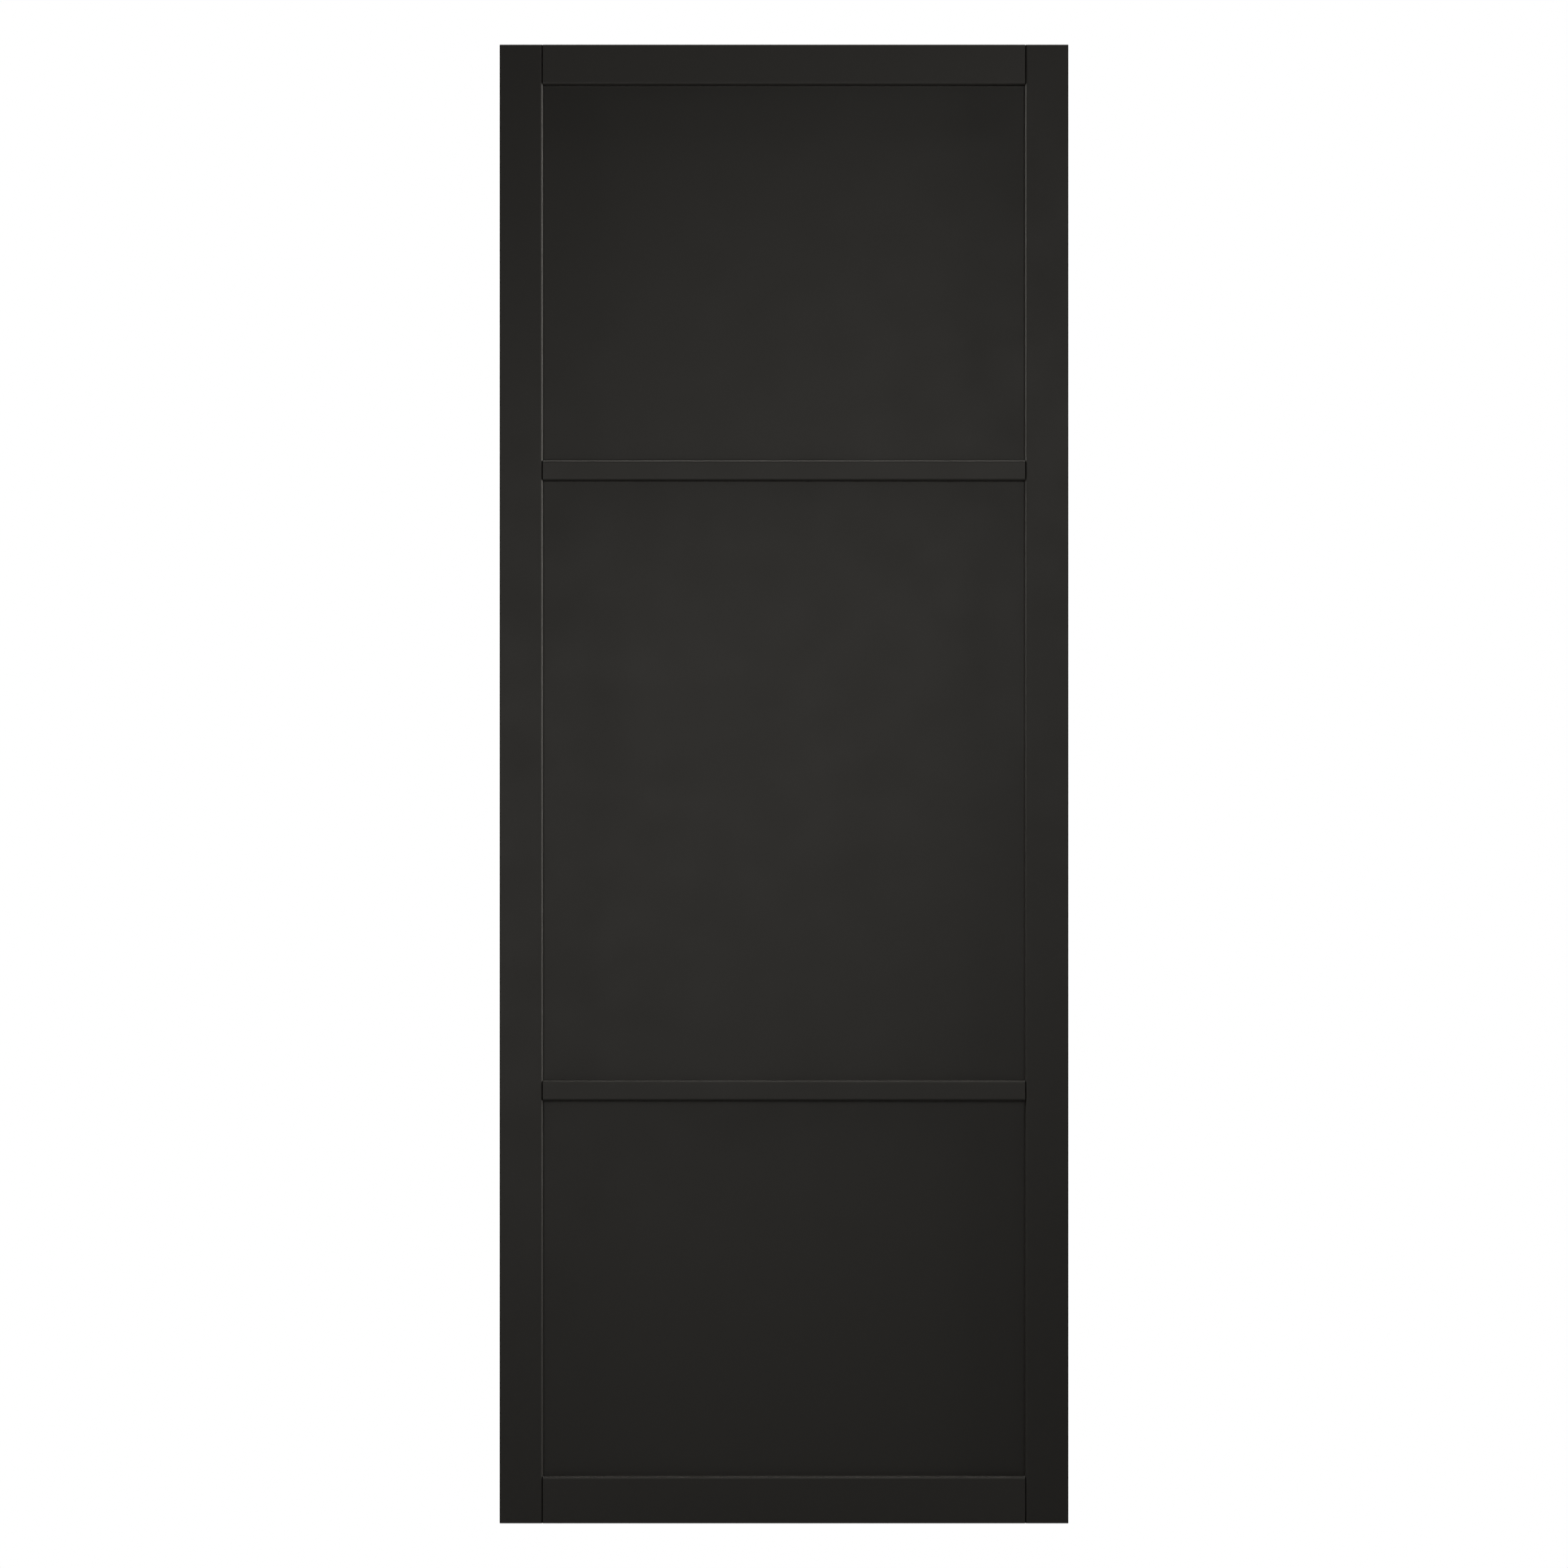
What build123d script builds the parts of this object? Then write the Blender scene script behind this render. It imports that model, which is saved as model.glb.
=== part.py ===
from build123d import *
import math
import os

# Sliding wardrobe door: one framed leaf with three flat panels, an adjustable roller let into the
# bottom rail at each end, a slide-up guide let into the top rail at each end, and what seals and
# secures it.
# Millimetres. +X is to the right, -Y is the front, +Z is up.
# The origin is the middle of the leaf's bottom edge, at half its thickness.

# ---- leaf ----
DOOR_WIDTH = 762.0
DOOR_HEIGHT = 1981.0
DOOR_THICKNESS = 35.0
STILE_WIDTH = 58.0
TOP_RAIL_HEIGHT = 54.0
MID_RAIL_HEIGHT = 28.0
BOTTOM_RAIL_HEIGHT = 63.0
END_OPENING_HEIGHT = 502.5  # clear height of the upper and of the lower panel
ARRIS = 3.5  # rounding of the edges round the panels, which leaves a dark V where a rail meets a stile
OUTER_ARRIS = 0.6  # rounding of the stiles' outer edges
END_ARRIS = 0.5  # easing of the leaf's top and bottom edges
PANEL_THICKNESS = 9.0
PANEL_REACH = 7.5  # how far a panel or a tongue goes into its groove
GROOVE_DEPTH = 8.5
GROOVE_WIDTH = 9.2

HALF_WIDTH = DOOR_WIDTH / 2
HALF_THICKNESS = DOOR_THICKNESS / 2
RAIL_HALF_LENGTH = HALF_WIDTH - STILE_WIDTH
LOWER_MID_BOTTOM = BOTTOM_RAIL_HEIGHT + END_OPENING_HEIGHT
LOWER_MID_TOP = LOWER_MID_BOTTOM + MID_RAIL_HEIGHT
TOP_RAIL_BOTTOM = DOOR_HEIGHT - TOP_RAIL_HEIGHT
UPPER_MID_TOP = TOP_RAIL_BOTTOM - END_OPENING_HEIGHT
UPPER_MID_BOTTOM = UPPER_MID_TOP - MID_RAIL_HEIGHT

# ---- dowels that hold the top and bottom rails to the stiles ----
DOWEL_RADIUS = 4.0
DOWEL_INNER_END = 295.0  # distance from the door's middle to a dowel's end in the rail
DOWEL_OUTER_END = 353.0  # and to its end in the stile
DOWEL_GLUE_GAP = 0.05
DOWEL_END_GAP = 1.0
BOTTOM_DOWEL_HEIGHTS = (16.0, 47.0)
TOP_DOWEL_HEIGHTS = (TOP_RAIL_BOTTOM + 18.0, TOP_RAIL_BOTTOM + 40.0)

# ---- bottom roller unit: U runs from the unit's outer end towards the door's middle ----
UNIT_START = 282.0  # distance from the door's middle to U = 0
HOUSING_LENGTH = 104.0
HOUSING_HALF_WIDTH = 8.7
HOUSING_WALL = 1.5
HOUSING_TOP = 41.5
FACEPLATE_THICKNESS = 2.0
FACEPLATE_HALF_WIDTH = 10.0
FACEPLATE_END = 12.0  # how far the faceplate runs past the housing at each end
FACEPLATE_OPENING = (12.0, 94.0)
HOUSING_SCREW_U = (-6.0, HOUSING_LENGTH + 6.0)
POCKET_GAP = 0.2
PIN_U = (22.0, 84.0)
PIN_RADIUS = 2.0
PIN_HALF_LENGTH = 8.5
PIN_HEIGHT = 17.0
ROLLER_TRAVEL = 10.0
CAM_TRAVEL = 12.0
PIN_SLOT_GAP = 0.12
SLOT_OVERRUN = 0.4  # how much longer a slot is than the travel in it
WHEEL_U = 53.0
WHEEL_RADIUS = 13.0
WHEEL_HALF_WIDTH = 4.0
WHEEL_HEIGHT = 14.0  # height of the wheel's axis with the roller wound right in
RAIL_GROOVE_RADIUS = 2.6
CARRIER_U = (14.0, 92.0)
CARRIER_HALF_WIDTH = 6.8
CARRIER_WALL = 1.6
CARRIER_BOTTOM = 1.0
CARRIER_TOP = 23.0
AXLE_RADIUS = 2.5
INNER_RING_RADIUS = 4.0
OUTER_RING_BORE = 6.6
OUTER_RING_RADIUS = 8.0
BALL_COUNT = 8
BALL_RADIUS = 1.2
CAM_HALF_THICKNESS = 4.0
CAM_BOTTOM = 3.0
CAM_ROOF_BOTTOM = 29.5
CAM_TOP = 39.5
CAM_U = (17.0, 100.3)
CAM_WALL = 4.3  # from a slot's centre line to the edge of its leg
SCREW_HEIGHT = 34.5
SCREW_RADIUS = 2.5
SCREW_CORE_RADIUS = 2.1  # at the root of its thread
SCREW_THREAD_U = 3.4  # where the thread starts
SCREW_END_U = 36.0
SCREW_HEAD_RADIUS = 4.0
SCREW_HEAD_LENGTH = 4.0
HEX_ACROSS_FLATS = 4.0
ACCESS_BORE_RADIUS = 5.2

# ---- top guide unit ----
GUIDE_X = 262.0  # distance from the door's middle to the guide's axis
GUIDE_TRAVEL = 14.0
CASE_HALF = (12.0, 11.0)
CASE_BOTTOM = 1939.0
CASE_WALL = (2.0, 1.5)
CASE_FLANGE_HALF_LENGTH = 21.0
CASE_FLANGE_THICKNESS = 2.0
CASE_SCREW_X = 16.5
BOLT_BOTTOM = 1945.0
BOLT_TOP = 1966.0
BOLT_GAP = 0.25
GUIDE_ROLLER_RADIUS = 8.6
GUIDE_ROLLER_BOTTOM = 1968.0
GUIDE_ROLLER_TOP = 1977.5
GUIDE_PIN_RADIUS = 2.0
THUMB_HEIGHT = 1955.5
THUMB_SLOT_HALF_WIDTH = 4.0
THUMB_NECK_HALF_WIDTH = 3.0  # of the square neck that joins the thumb button to the bolt
THUMB_NECK_ENTRY = 4.0  # how far that neck is let into the bolt
THUMB_BUTTON_WIDTH = 13.0
THUMB_BUTTON_THICKNESS = 3.6
THUMB_BUTTON_GAP = 0.4
PIN_ENTRY_HEIGHT = BOLT_BOTTOM + 7.0  # where the guide pin's lower end sits in the bolt
BEZEL_BODY_HALF_WIDTH = 5.5
BEZEL_HALF_WIDTH = 7.0
BEZEL_LIP = 1.0

# ---- anti-jump block, rear brush strip, adjuster cap ----
BLOCK_X = 229.0
BLOCK_TRAVEL = 8.0
BLOCK_HALF_WIDTH = 14.0
BLOCK_BOTTOM = 1.5
BLOCK_TOP = 37.0
BLOCK_THICKNESS = 6.0
BLOCK_SCREW_HEIGHT = 16.0
BLOCK_SCREW_TIP = 12.5  # how far back from the leaf's middle the screw's tip stops
BLOCK_RECESS_RADIUS = 5.7  # round the washer
BLOCK_RECESS_DEPTH = 2.0
BRUSH_X = 375.0
BRUSH_END_GAP = 6.0
BRUSH_BASE_HALF_WIDTH = 3.4
BRUSH_BASE_THICKNESS = 0.9
PILE_HALF_WIDTH = 2.3
PILE_HEIGHT = 5.0
CAP_RADIUS = 6.0
CAP_THICKNESS = 1.2
CAP_SHANK_LENGTH = 9.0
CAP_SHANK_WALL = 1.1

# ---- screws ----
SCREW_SHANK = 1.8  # radius of every wood screw
SCREW_HEAD = 3.7  # radius of its countersunk head
SCREW_TIP = 0.2
SCREW_HOLE_GAP = 0.05
HOUSING_SCREW_LENGTH = 20.0
GUIDE_SCREW_LENGTH = 16.0
RECESS_SPAN = 4.4  # the cross recess in a screw's head
RECESS_WIDTH = 1.0
RECESS_DEPTH = 1.4
WASHER_RADIUS = 5.3
WASHER_THICKNESS = 1.0
PAN_HEAD_RADIUS = 3.8
PAN_HEAD_HEIGHT = 2.0

os.makedirs("parts", exist_ok=True)


def save(builder, name):
    """Labels a finished piece and writes its STEP file."""
    builder.part.label = name
    export_step(builder.part, f"parts/{name}.step")


def save_pair(builder, name):
    """Writes a left-hand piece, and its mirror image as the right-hand one."""
    with BuildPart() as opposite:
        mirror(builder.part, about=Plane.YZ)
    save(builder, f"left_{name}")
    save(opposite, f"right_{name}")


def span_box(x, y, z, mode=Mode.ADD):
    """A box between two corners, given as (low, high) along each axis."""
    with Locations(((x[0] + x[1]) / 2, (y[0] + y[1]) / 2, (z[0] + z[1]) / 2)):
        Box(x[1] - x[0], y[1] - y[0], z[1] - z[0], mode=mode)


def rod(plane, radius, start, end, mode=Mode.ADD):
    """A cylinder along the plane's normal, from start to end along it."""
    with BuildSketch(plane.offset(start)) as disc:
        Circle(radius)
    extrude(disc.sketch, amount=end - start, mode=mode)


def across(x, z):
    """A plane square to Y, centred at x and z, whose normal points to the back."""
    return Plane(origin=(x, 0, z), x_dir=(1, 0, 0), z_dir=(0, 1, 0))


def along(y, z):
    """A plane square to X, centred at y and z, whose normal points to the right."""
    return Plane(origin=(0, y, z), x_dir=(0, 1, 0), z_dir=(1, 0, 0))


def upright(x, z):
    """A level plane, centred at x on the leaf's mid-thickness, at height z."""
    return Plane(origin=(x, 0, z), x_dir=(1, 0, 0), z_dir=(0, 0, 1))


def unit_x(u):
    """Where a roller unit's U lies on the left-hand side of the door."""
    return u - UNIT_START


def turned(plane, profile, mode=Mode.ADD):
    """A turned solid on the plane's normal, from (radius, height) points of its half section."""
    side = Plane(origin=plane.origin, x_dir=plane.x_dir, z_dir=-plane.y_dir)
    with BuildSketch(side) as half_section:
        with BuildLine():
            Polyline((0, profile[0][1]), *profile, (0, profile[-1][1]), close=True)
        make_face()
    revolve(half_section.sketch, Axis(plane.origin, plane.z_dir), mode=mode)


def cross_recess(plane):
    """The recess for the driver in a screw's head."""
    with BuildSketch(plane) as cross:
        Rectangle(RECESS_SPAN, RECESS_WIDTH)
        Rectangle(RECESS_WIDTH, RECESS_SPAN)
    extrude(cross.sketch, amount=-RECESS_DEPTH, mode=Mode.SUBTRACT)


def wood_screw(plane, length):
    """A countersunk wood screw, its head flush with the plane, its shank against the normal."""
    profile = [
        (SCREW_HEAD, 0),
        (SCREW_SHANK, SCREW_SHANK - SCREW_HEAD),
        (SCREW_SHANK, 2 * SCREW_SHANK - length),
        (SCREW_TIP, -length),
    ]
    turned(plane, profile)
    cross_recess(plane)


def screw_hole(plane, length):
    """The hole for such a screw, in the piece that the plane touches."""
    head = SCREW_HEAD + SCREW_HOLE_GAP
    shank = SCREW_SHANK + SCREW_HOLE_GAP
    turned(plane, [(head, 0), (shank, shank - head), (shank, -length - 0.5)], Mode.SUBTRACT)


# ---------------------------------------------------------------- stiles
with BuildPart() as stile:
    span_box((-HALF_WIDTH, -RAIL_HALF_LENGTH), (-HALF_THICKNESS, HALF_THICKNESS), (0, DOOR_HEIGHT))
    fillet(stile.edges().filter_by(Axis.Z).group_by(Axis.X)[-1], ARRIS)
    fillet(stile.edges().filter_by(Axis.Z).group_by(Axis.X)[0], OUTER_ARRIS)
    chamfer(stile.faces().filter_by(Axis.Z).edges(), END_ARRIS)
    groove_y = (-GROOVE_WIDTH / 2, GROOVE_WIDTH / 2)
    span_box(
        (-RAIL_HALF_LENGTH - GROOVE_DEPTH, -RAIL_HALF_LENGTH), groove_y, (0, DOOR_HEIGHT), Mode.SUBTRACT
    )
    for height in BOTTOM_DOWEL_HEIGHTS + TOP_DOWEL_HEIGHTS:
        rod(
            along(0, height),
            DOWEL_RADIUS + DOWEL_GLUE_GAP,
            -DOWEL_OUTER_END - DOWEL_END_GAP,
            -RAIL_HALF_LENGTH,
            Mode.SUBTRACT,
        )
    rod(along(0, SCREW_HEIGHT), ACCESS_BORE_RADIUS, -HALF_WIDTH, -RAIL_HALF_LENGTH, Mode.SUBTRACT)
    rod(
        along(0, SCREW_HEIGHT),
        CAP_RADIUS + 0.1,
        -HALF_WIDTH,
        -HALF_WIDTH + CAP_THICKNESS,
        Mode.SUBTRACT,
    )
save_pair(stile, "stile")


# ---------------------------------------------------------------- rails
def rail_blank(rail, bottom, top, groove_below, groove_above):
    """A rail with its arrises, its panel grooves and the tongues that enter the stiles."""
    span_box(
        (-RAIL_HALF_LENGTH, RAIL_HALF_LENGTH), (-HALF_THICKNESS, HALF_THICKNESS), (bottom, top)
    )
    level_edges = rail.edges().filter_by(Axis.X).group_by(Axis.Z)
    fillet(level_edges[0], ARRIS if groove_below else END_ARRIS)
    fillet(level_edges[-1], ARRIS if groove_above else END_ARRIS)
    tongue_bottom = bottom + GROOVE_DEPTH if groove_below else bottom
    tongue_top = top - GROOVE_DEPTH if groove_above else top
    tongue_end = RAIL_HALF_LENGTH + PANEL_REACH
    tongue_y = (-PANEL_THICKNESS / 2, PANEL_THICKNESS / 2)
    span_box((-tongue_end, tongue_end), tongue_y, (tongue_bottom, tongue_top))
    groove_x = (-RAIL_HALF_LENGTH, RAIL_HALF_LENGTH)
    if groove_below:
        span_box(groove_x, groove_y, (bottom, tongue_bottom), Mode.SUBTRACT)
    if groove_above:
        span_box(groove_x, groove_y, (tongue_top, top), Mode.SUBTRACT)


def rail_dowel_holes(heights):
    """Dowel holes through the tongues and into both ends of a rail."""
    tongue_end = RAIL_HALF_LENGTH + PANEL_REACH
    hole_end = DOWEL_INNER_END - DOWEL_END_GAP
    for height in heights:
        for start, end in ((-tongue_end, -hole_end), (hole_end, tongue_end)):
            rod(along(0, height), DOWEL_RADIUS + DOWEL_GLUE_GAP, start, end, Mode.SUBTRACT)


def guide_screw_planes(x):
    """Where the two screws of a top guide's flange go in, round the guide at x."""
    return [upright(x + offset, DOOR_HEIGHT) for offset in (-CASE_SCREW_X, CASE_SCREW_X)]


def housing_screw_planes(side):
    """Where the two screws of a roller housing's faceplate go in, with the plane facing down."""
    origins = [(side * -unit_x(u), 0, 0) for u in HOUSING_SCREW_U]
    return [Plane(origin=origin, x_dir=(1, 0, 0), z_dir=(0, 0, -1)) for origin in origins]


def block_screw_plane(side, y):
    """Where the screw of an anti-jump block goes in, facing the back at depth y."""
    return across(side * BLOCK_X, BLOCK_SCREW_HEIGHT).offset(y)


thumb_slot_ends = (THUMB_HEIGHT - 5.5, THUMB_HEIGHT + GUIDE_TRAVEL + 5.5)
thumb_slot_middle = sum(thumb_slot_ends) / 2
thumb_slot_length = thumb_slot_ends[1] - thumb_slot_ends[0]
bezel_body_length = thumb_slot_length + 2 * (BEZEL_BODY_HALF_WIDTH - THUMB_SLOT_HALF_WIDTH)
bezel_length = thumb_slot_length + 2 * (BEZEL_HALF_WIDTH - THUMB_SLOT_HALF_WIDTH)

with BuildPart() as top_rail:
    rail_blank(top_rail, TOP_RAIL_BOTTOM, DOOR_HEIGHT, True, False)
    rail_dowel_holes(TOP_DOWEL_HEIGHTS)
    for x in (-GUIDE_X, GUIDE_X):
        half_x, half_y = CASE_HALF
        span_box(
            (x - half_x - POCKET_GAP, x + half_x + POCKET_GAP),
            (-half_y - POCKET_GAP, half_y + POCKET_GAP),
            (CASE_BOTTOM - POCKET_GAP, DOOR_HEIGHT),
            Mode.SUBTRACT,
        )
        with BuildSketch(Plane.XY.offset(DOOR_HEIGHT)):
            with Locations((x, 0)):
                RectangleRounded(
                    2 * (CASE_FLANGE_HALF_LENGTH + POCKET_GAP), 2 * (half_y + POCKET_GAP), 4
                )
        extrude(amount=-CASE_FLANGE_THICKNESS, mode=Mode.SUBTRACT)
        for plane in guide_screw_planes(x):
            screw_hole(plane, GUIDE_SCREW_LENGTH)
        with BuildSketch(across(x, thumb_slot_middle)):
            SlotOverall(bezel_body_length, 2 * BEZEL_BODY_HALF_WIDTH, rotation=90)
        extrude(amount=HALF_THICKNESS, mode=Mode.SUBTRACT)
save(top_rail, "top_rail")

with BuildPart() as upper_mid_rail:
    rail_blank(upper_mid_rail, UPPER_MID_BOTTOM, UPPER_MID_TOP, True, True)
save(upper_mid_rail, "upper_mid_rail")

with BuildPart() as lower_mid_rail:
    rail_blank(lower_mid_rail, LOWER_MID_BOTTOM, LOWER_MID_TOP, True, True)
save(lower_mid_rail, "lower_mid_rail")

with BuildPart() as bottom_rail:
    rail_blank(bottom_rail, 0, BOTTOM_RAIL_HEIGHT, False, True)
    rail_dowel_holes(BOTTOM_DOWEL_HEIGHTS)
    for side in (-1, 1):
        ends = sorted(side * -unit_x(u) for u in (-POCKET_GAP, HOUSING_LENGTH + POCKET_GAP))
        half_y = HOUSING_HALF_WIDTH + POCKET_GAP
        span_box(ends, (-half_y, half_y), (0, HOUSING_TOP + POCKET_GAP), Mode.SUBTRACT)
        with BuildSketch(Plane.XY):
            with Locations((sum(ends) / 2, 0)):
                SlotOverall(
                    HOUSING_LENGTH + 2 * (FACEPLATE_END + POCKET_GAP),
                    2 * (FACEPLATE_HALF_WIDTH + POCKET_GAP),
                )
        extrude(amount=FACEPLATE_THICKNESS, mode=Mode.SUBTRACT)
        for plane in housing_screw_planes(side):
            screw_hole(plane, HOUSING_SCREW_LENGTH)
        bore = sorted((side * (RAIL_HALF_LENGTH + PANEL_REACH), side * UNIT_START))
        rod(along(0, SCREW_HEIGHT), ACCESS_BORE_RADIUS, bore[0], bore[1], Mode.SUBTRACT)
        rod(
            block_screw_plane(side, 0),
            SCREW_SHANK + SCREW_HOLE_GAP,
            BLOCK_SCREW_TIP - 0.5,
            HALF_THICKNESS,
            Mode.SUBTRACT,
        )
save(bottom_rail, "bottom_rail")

# ---------------------------------------------------------------- panels
PANELS = {
    "upper_panel": (UPPER_MID_TOP, TOP_RAIL_BOTTOM),
    "middle_panel": (LOWER_MID_TOP, UPPER_MID_BOTTOM),
    "lower_panel": (BOTTOM_RAIL_HEIGHT, LOWER_MID_BOTTOM),
}
panel_half_width = RAIL_HALF_LENGTH + PANEL_REACH
panel_y = (-PANEL_THICKNESS / 2, PANEL_THICKNESS / 2)
for panel_name, (opening_bottom, opening_top) in PANELS.items():
    with BuildPart() as panel:
        span_box(
            (-panel_half_width, panel_half_width),
            panel_y,
            (opening_bottom - PANEL_REACH, opening_top + PANEL_REACH),
        )
    save(panel, panel_name)

# Rubber pads in the stile grooves centre each panel and stop it rattling.
PAD_LENGTH = 40.0
PAD_THICKNESS = GROOVE_DEPTH - PANEL_REACH
PAD_INSET = 90.0
with BuildPart() as panel_pads:
    for opening_bottom, opening_top in PANELS.values():
        for height in (opening_bottom + PAD_INSET, opening_top - PAD_INSET):
            for side in (-1, 1):
                ends = sorted((side * panel_half_width, side * (panel_half_width + PAD_THICKNESS)))
                span_box(ends, (-4.0, 4.0), (height - PAD_LENGTH / 2, height + PAD_LENGTH / 2))
save(panel_pads, "panel_pads")

# ---------------------------------------------------------------- dowels
DOWELS = {
    "top_rail_dowels": TOP_DOWEL_HEIGHTS,
    "bottom_rail_dowels": BOTTOM_DOWEL_HEIGHTS,
}
for dowel_name, heights in DOWELS.items():
    with BuildPart() as dowels:
        for height in heights:
            rod(along(0, height), DOWEL_RADIUS, -DOWEL_OUTER_END, -DOWEL_INNER_END)
            rod(along(0, height), DOWEL_RADIUS, DOWEL_INNER_END, DOWEL_OUTER_END)
        chamfer(dowels.edges().filter_by(GeomType.CIRCLE), 0.8)
    save(dowels, dowel_name)

# ---------------------------------------------------------------- bottom roller unit
wheel_plane = across(unit_x(WHEEL_U), WHEEL_HEIGHT)
slot_width = 2 * (PIN_RADIUS + PIN_SLOT_GAP)

with BuildPart() as roller_housing:
    span_box(
        (unit_x(0), unit_x(HOUSING_LENGTH)),
        (-HOUSING_HALF_WIDTH, HOUSING_HALF_WIDTH),
        (FACEPLATE_THICKNESS, HOUSING_TOP),
    )
    fillet(roller_housing.edges().filter_by(Axis.X).group_by(Axis.Z)[-1], 1.2)
    with BuildSketch(Plane.XY):
        with Locations((unit_x(HOUSING_LENGTH / 2), 0)):
            SlotOverall(HOUSING_LENGTH + 2 * FACEPLATE_END, 2 * FACEPLATE_HALF_WIDTH)
    extrude(amount=FACEPLATE_THICKNESS)
    inside_y = HOUSING_HALF_WIDTH - HOUSING_WALL
    span_box(
        (unit_x(HOUSING_WALL), unit_x(HOUSING_LENGTH - HOUSING_WALL)),
        (-inside_y, inside_y),
        (FACEPLATE_THICKNESS, HOUSING_TOP - HOUSING_WALL),
        Mode.SUBTRACT,
    )
    span_box(
        (unit_x(FACEPLATE_OPENING[0]), unit_x(FACEPLATE_OPENING[1])),
        (-inside_y, inside_y),
        (0, FACEPLATE_THICKNESS),
        Mode.SUBTRACT,
    )
    rod(along(0, SCREW_HEIGHT), SCREW_RADIUS + 0.2, unit_x(0), unit_x(HOUSING_WALL), Mode.SUBTRACT)
    with BuildSketch(Plane.XZ):  # slots that let the carrier's pins travel down
        with Locations(*[(unit_x(u), PIN_HEIGHT - ROLLER_TRAVEL / 2) for u in PIN_U]):
            SlotCenterToCenter(ROLLER_TRAVEL + SLOT_OVERRUN, slot_width, rotation=90)
    extrude(amount=HOUSING_HALF_WIDTH, both=True, mode=Mode.SUBTRACT)
    for plane in housing_screw_planes(-1):
        screw_hole(plane, FACEPLATE_THICKNESS)
save_pair(roller_housing, "roller_housing")

with BuildPart() as housing_screws:
    for side in (-1, 1):
        for plane in housing_screw_planes(side):
            wood_screw(plane, HOUSING_SCREW_LENGTH)
save(housing_screws, "housing_screws")

with BuildPart() as cam_bar:
    slot_run = math.hypot(CAM_TRAVEL, ROLLER_TRAVEL)
    slope_u = CAM_TRAVEL / slot_run
    slope_z = ROLLER_TRAVEL / slot_run
    slot_middle = PIN_HEIGHT - ROLLER_TRAVEL / 2
    wall_u = CAM_WALL * slope_z
    wall_z = CAM_WALL * slope_u
    pin_low = PIN_HEIGHT - ROLLER_TRAVEL
    left_u, right_u = PIN_U
    with BuildSketch(Plane.XZ):
        with BuildLine():
            Polyline(
                (unit_x(CAM_U[0]), CAM_TOP),
                (unit_x(CAM_U[0]), PIN_HEIGHT),
                (unit_x(left_u - wall_u), PIN_HEIGHT - wall_z),
                (unit_x(left_u + CAM_TRAVEL - wall_u), CAM_BOTTOM),
                (unit_x(left_u + CAM_TRAVEL + CAM_WALL), CAM_BOTTOM),
                (unit_x(left_u + CAM_TRAVEL + CAM_WALL), pin_low),
                (unit_x(left_u + wall_u), PIN_HEIGHT + wall_z),
                (unit_x(left_u + wall_u), CAM_ROOF_BOTTOM),
                (unit_x(right_u - CAM_WALL), CAM_ROOF_BOTTOM),
                (unit_x(right_u - CAM_WALL), PIN_HEIGHT),
                (unit_x(right_u - wall_u), PIN_HEIGHT - wall_z),
                (unit_x(right_u + CAM_TRAVEL - wall_u), CAM_BOTTOM),
                (unit_x(CAM_U[1]), CAM_BOTTOM),
                (unit_x(CAM_U[1]), CAM_TOP),
                close=True,
            )
        make_face()
        with Locations(*[(unit_x(u + CAM_TRAVEL / 2), slot_middle) for u in PIN_U]):
            SlotCenterToCenter(
                slot_run + SLOT_OVERRUN,
                slot_width,
                rotation=-math.degrees(math.atan2(ROLLER_TRAVEL, CAM_TRAVEL)),
                mode=Mode.SUBTRACT,
            )
    extrude(amount=CAM_HALF_THICKNESS, both=True)
    rod(
        along(0, SCREW_HEIGHT),
        SCREW_RADIUS + 0.1,
        unit_x(CAM_U[0]),
        unit_x(SCREW_END_U + CAM_TRAVEL + 2),
        Mode.SUBTRACT,
    )
    fillet(cam_bar.edges().filter_by(Axis.Y).group_by(Axis.Z)[-1], 2.0)
save_pair(cam_bar, "cam_bar")

with BuildPart() as adjuster_screw:
    rod(along(0, SCREW_HEIGHT), SCREW_HEAD_RADIUS, unit_x(-SCREW_HEAD_LENGTH - 0.2), unit_x(-0.2))
    chamfer(adjuster_screw.edges().group_by(Axis.X)[0], 0.4)
    rod(along(0, SCREW_HEIGHT), SCREW_RADIUS, unit_x(-0.2), unit_x(SCREW_THREAD_U))
    rod(along(0, SCREW_HEIGHT), SCREW_CORE_RADIUS, unit_x(SCREW_THREAD_U), unit_x(SCREW_END_U))
    chamfer(adjuster_screw.edges().group_by(Axis.X)[-1], 0.6)
    with BuildSketch(along(0, SCREW_HEIGHT).offset(unit_x(-SCREW_HEAD_LENGTH - 0.2))):
        RegularPolygon(HEX_ACROSS_FLATS / 2, 6, major_radius=False)
    extrude(amount=2.6, mode=Mode.SUBTRACT)
    with BuildSketch(along(0, SCREW_HEIGHT).offset(unit_x(1.7))):  # groove for the clip
        Circle(SCREW_RADIUS)
        Circle(SCREW_RADIUS - 0.5, mode=Mode.SUBTRACT)
    extrude(amount=0.8, mode=Mode.SUBTRACT)
save_pair(adjuster_screw, "adjuster_screw")

with BuildPart() as adjuster_clip:
    with BuildSketch(along(0, SCREW_HEIGHT).offset(unit_x(1.75))):
        Circle(4.4)
        Circle(SCREW_RADIUS - 0.45, mode=Mode.SUBTRACT)
        with Locations((0, -3.0)):
            Rectangle(3.6, 6.0, mode=Mode.SUBTRACT)
    extrude(amount=0.7)
save_pair(adjuster_clip, "adjuster_clip")

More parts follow.
